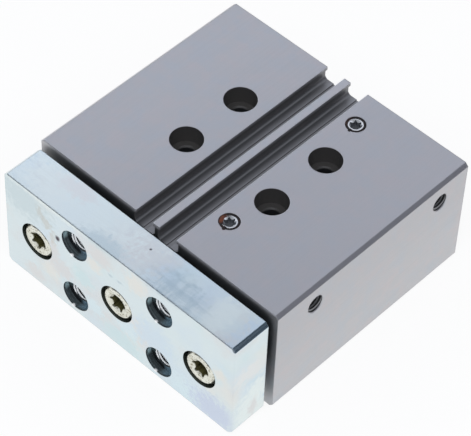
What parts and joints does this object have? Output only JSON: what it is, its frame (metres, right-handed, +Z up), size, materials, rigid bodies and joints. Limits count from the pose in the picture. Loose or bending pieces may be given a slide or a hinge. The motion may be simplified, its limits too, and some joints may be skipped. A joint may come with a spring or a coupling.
{
  "type": "guided pneumatic cylinder",
  "caption": "Compact guided air cylinder: extruded aluminium housing with twin sensor slots, ball-guided rods and a bolted steel yoke plate that slides out on the stroke.",
  "frame": {"origin": "centre of the four housing mounting holes, on the flat base face of the housing", "axes": "+Z up out of the base, -Y the way the yoke plate moves out, +X towards the side with the air ports"},
  "size_m": [0.083, 0.085, 0.036],
  "materials": {
    "housing_anodised": "satin grey anodised extrusion",
    "yoke_zinc": "bright blue-passivated zinc plate on milled steel",
    "screw_zinc": "pale yellow zinc plate",
    "plug_steel": "bright zinc plate",
    "rod_chrome": "ground and hard chromed",
    "bearing_steel": "ground bearing steel",
    "clip_steel": "black phosphated spring steel",
    "cap_aluminium": "turned, natural anodised",
    "piston_aluminium": "turned, bare",
    "bush_bronze": "sintered bronze",
    "seal_rubber": "black nitrile rubber",
    "seal_polyurethane": "blue polyurethane",
    "bumper_rubber": "black cushioning elastomer",
    "cage_plastic": "black polyacetal",
    "wear_plastic": "filled sliding plastic",
    "magnet_ferrite": "plastic-bonded ferrite"
  },
  "bodies": {
    "housing": {"housing": "housing_anodised", "front_cap": "cap_aluminium", "rear_cap": "cap_aluminium", "front_cap_o_ring": "seal_rubber", "rear_cap_o_ring": "seal_rubber", "front_cap_circlip": "clip_steel", "rear_cap_circlip": "clip_steel", "rod_bush": "bush_bronze", "rod_seal": "seal_polyurethane", "port_plug_front": "plug_steel", "port_plug_rear": "plug_steel", "guide_circlip_left": "clip_steel", "guide_wiper_left": "seal_rubber", "bushing_spacer_left": "bearing_steel", "guide_circlip_right": "clip_steel", "guide_wiper_right": "seal_rubber", "bushing_spacer_right": "bearing_steel", "ball_bushing_left_front": "bearing_steel", "bearing_balls_left_front": "bearing_steel", "ball_cage_left_front": "cage_plastic", "ball_bushing_left_rear": "bearing_steel", "bearing_balls_left_rear": "bearing_steel", "ball_cage_left_rear": "cage_plastic", "ball_bushing_right_front": "bearing_steel", "bearing_balls_right_front": "bearing_steel", "ball_cage_right_front": "cage_plastic", "ball_bushing_right_rear": "bearing_steel", "bearing_balls_right_rear": "bearing_steel", "ball_cage_right_rear": "cage_plastic"},
    "yoke": {"yoke_plate": "yoke_zinc", "rod_screw": "screw_zinc", "guide_screw_left": "screw_zinc", "guide_screw_right": "screw_zinc", "guide_rod_left": "rod_chrome", "guide_rod_right": "rod_chrome", "piston_rod": "rod_chrome", "piston": "piston_aluminium", "piston_screw": "plug_steel", "piston_seal_front": "seal_polyurethane", "piston_seal_rear": "seal_polyurethane", "magnet_ring": "magnet_ferrite", "piston_wear_ring": "wear_plastic", "bumper_front": "bumper_rubber", "bumper_rear": "bumper_rubber"}
  },
  "joints": [
    {"name": "stroke", "type": "slide", "parent": "housing", "child": "yoke", "axis": [0, -1, 0], "range_m": [0, 0.03]}
  ]
}
